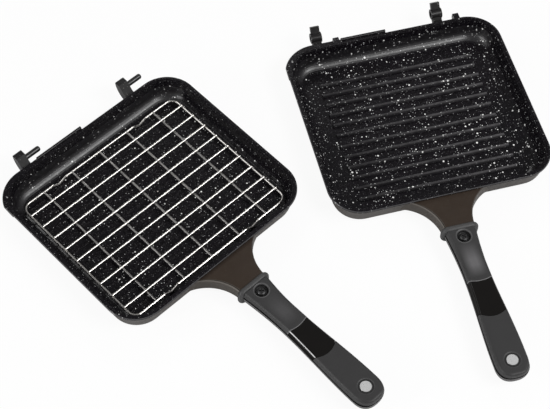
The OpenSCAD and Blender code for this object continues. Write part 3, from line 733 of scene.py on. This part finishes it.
def bracket_piece(name, half):
    """The bracket with hollow sides and rounded edges, and its tang."""
    rings = []
    for step in range(BRACKET_STEPS + 1):
        t = step / BRACKET_STEPS
        ring = []
        for quarter, (sx, sz) in enumerate(CORNERS):
            r = BRACKET_UPPER_R if sz > 0 else BRACKET_LOWER_R
            for k in range(EDGE_STEPS + 1):
                b = math.radians(90 * quarter + 90 * k / EDGE_STEPS)
                z = BRACKET_TOP - BRACKET_T / 2 + sz * (BRACKET_T / 2 - r) + r * math.sin(b)
                lean = (PAN_H - FLANGE_T - z) * math.tan(WALL_LEAN)
                wall = PAN_D / 2 - FLANGE_OVER - BRACKET_ROOT_IN - lean
                y = GUARD_Y * (1 - t) - wall * t
                bend = y - GUARD_Y + GUARD_T / 2
                w = BRACKET_W / 2 + BRACKET_CURVE_R - math.sqrt(BRACKET_CURVE_R ** 2 - bend * bend)
                ring.append((sx * (w - r) + r * math.cos(b), y, z))
        rings.append(ring)
    points, faces = loft(rings)
    tang_end = HANDLE_Y - TANG_LEN
    rings = []
    for y, inset in ((GUARD_Y + TANG_START, 0), (tang_end + TANG_CHAMFER, 0), (tang_end, TANG_CHAMFER)):
        w = TANG_W / 2 - inset
        high = PARTING_Z - SHELL_GAP - inset
        low = PARTING_Z - SHELL_GAP - TANG_T + inset
        rings.append([(w, y, high), (-w, y, high), (-w, y, low), (w, y, low)])
    tang_points, tang_faces = loft(rings)
    tang_faces = [tuple(len(points) + i for i in face) for face in tang_faces]
    return new_object(name, half, points + tang_points, faces + tang_faces)


def screw_recess():
    """The body to cut for the screw: a shank hole, a round-edged floor and a flared rim."""
    floor = FACE_Z - RECESS_T
    r = RECESS_D / 2
    foot = r - RECESS_FLOOR_R
    profile = [(SHANK_R, PARTING_Z - 1), (SHANK_R, floor), (foot, floor)]
    for a in (0.4, 0.8, 1.2, 1.57):
        rise = RECESS_FLOOR_R - RECESS_FLOOR_R * math.cos(a)
        profile.append((foot + RECESS_FLOOR_R * math.sin(a), floor + rise))
    profile += [(r + out, FACE_Z - down) for out, down in RECESS_RIM]
    return lathe(profile, (0, HANDLE_Y - SCREW_AT))


def magnet_seat():
    """The body to cut for the magnet: its pocket in a shallow ring."""
    r = MAGNET_D / 2 + MAGNET_PLAY
    profile = [(r + out, FACE_Z - down) for out, down in MAGNET_RIM]
    return lathe(profile, (0, HANDLE_Y - HANDLE_LEN + MAGNET_AT))


for half in HALVES:
    pre = half + "_handle_"
    piece = bracket_piece(half + "_bracket_casting", half)
    finish_piece(piece, half, "bracket_" + half, pre + "bracket", 60)
    piece = cover_piece(half + "_upper_cover", half, 0.0, BAND_AT, 0, COVER_BULGE)
    carve(piece, half, screw_recess())
    finish_piece(piece, half, "cover_" + half, pre + "cover", 30)
    band_end = BAND_AT + BAND_LEN
    piece = cover_piece(half + "_gloss_band", half, BAND_AT + SEAM, band_end, COVER_BULGE, BAND_BULGE, True)
    finish_piece(piece, half, "gloss", pre + "band", 10)
    piece = cover_piece(half + "_grip_cover", half, band_end + SEAM, HANDLE_LEN, BAND_BULGE, 0)
    carve(piece, half, magnet_seat())
    finish_piece(piece, half, "grip_" + half, pre + "grip", 30)
    piece = base_piece(half + "_lower_shell", half)
    finish_piece(piece, half, "base_" + half, pre + "base", 50)
    piece = guard_piece(half + "_collar", half)
    finish_piece(piece, half, "guard", pre + "guard", 60)


# ------------------------------------------------------------------ studio
# The floor: half its width, its height, and the share of plain white that the camera sees
FLOOR_HALF, FLOOR_Z, FLOOR_GLOW = 12.0, -0.0004, 0.93
# The point that the lamps face, and their distance from it
LAMP_AIM, LAMP_AWAY = Vector((0.13, -0.12, 0.0)), 2.2
# The world's strength on the object, and where the camera sees it
WORLD_LIGHT, WORLD_SEEN = 0.28, 1.0
# The camera: its focal length in pixels of the picture, the picture's width, place and aim
FOCAL_PX, PICTURE_W, SENSOR_W = 1422.2, 550, 36.0
EYE, LOOK = (-0.4621, -0.6694, 1.2420), (0.37496, 0.39437, -0.83897)


def floor_paint():
    """A pale floor that the camera sees nearly white, with the shadows kept."""
    p = Paint("floor")
    color = p.mix(p.noise(3, 3), (0.89, 0.89, 0.89), (0.91, 0.91, 0.91))
    p.set(Base_Color=color, Roughness=0.9, Specular_IOR_Level=0.1)
    glow = p.node("ShaderNodeEmission")
    glow.inputs["Strength"].default_value = 1.0
    glow.inputs["Color"].default_value = (1, 1, 1, 1)
    rays = p.node("ShaderNodeLightPath")
    blend = p.node("ShaderNodeMixShader")
    p.link(p.math("MULTIPLY", rays.outputs["Is Camera Ray"], FLOOR_GLOW), blend.inputs[0])
    p.link(p.shader.outputs[0], blend.inputs[1])
    p.link(glow.outputs[0], blend.inputs[2])
    p.link(blend.outputs[0], p.out.inputs["Surface"])
    return p.material


mesh = bpy.data.meshes.new("floor")
floor_points = [(x * FLOOR_HALF, y * FLOOR_HALF, FLOOR_Z) for x, y in ((-1, -1), (1, -1), (1, 1), (-1, 1))]
mesh.from_pydata(floor_points, [], [(0, 1, 2, 3)])
floor = bpy.data.objects.new("floor", mesh)
floor.data.materials.append(floor_paint())
bpy.context.scene.collection.objects.link(floor)


def soft_box(name, direction, size, power):
    """A lamp of that size in that direction from the object, facing it."""
    lamp = bpy.data.lights.new(name, "AREA")
    lamp.shape = "RECTANGLE"
    lamp.size, lamp.size_y = size
    lamp.energy = power
    obj = bpy.data.objects.new(name, lamp)
    d = Vector(direction).normalized()
    obj.location = LAMP_AIM + d * LAMP_AWAY
    obj.rotation_euler = d.to_track_quat("Z", "Y").to_euler()
    bpy.context.scene.collection.objects.link(obj)


soft_box("key", (0.22, -0.60, 0.77), (1.2, 0.75), 30.0)
soft_box("dish", (0.52, 0.63, 0.58), (0.4, 0.4), 5.0)
soft_box("edge", (-0.91, 0.25, 0.34), (0.34, 0.5), 15.0)
soft_box("back", (-0.55, 0.55, 0.62), (1.2, 0.8), 6.0)

world = bpy.data.worlds.new("studio")
bpy.context.scene.world = world
world.use_nodes = True
nodes, links = world.node_tree.nodes, world.node_tree.links
nodes.clear()
rays = nodes.new("ShaderNodeLightPath")
seen = nodes.new("ShaderNodeMath")
seen.operation = "MAXIMUM"
links.new(rays.outputs["Is Camera Ray"], seen.inputs[0])
links.new(rays.outputs["Is Transmission Ray"], seen.inputs[1])
level = nodes.new("ShaderNodeMapRange")
links.new(seen.outputs[0], level.inputs[0])
level.inputs[3].default_value = WORLD_LIGHT
level.inputs[4].default_value = WORLD_SEEN
backdrop = nodes.new("ShaderNodeBackground")
backdrop.inputs["Color"].default_value = (1, 1, 1, 1)
links.new(level.outputs[0], backdrop.inputs["Strength"])
links.new(backdrop.outputs[0], nodes.new("ShaderNodeOutputWorld").inputs["Surface"])

camera = bpy.data.cameras.new("camera")
camera.sensor_fit = "HORIZONTAL"
camera.sensor_width = SENSOR_W
camera.lens = FOCAL_PX / PICTURE_W * SENSOR_W
camera.clip_end = 100
eye = bpy.data.objects.new("camera", camera)
eye.location = EYE
eye.rotation_euler = Vector(LOOK).to_track_quat("-Z", "Y").to_euler()
bpy.context.scene.collection.objects.link(eye)
bpy.context.scene.camera = eye
bpy.context.scene.view_settings.view_transform = "Standard"
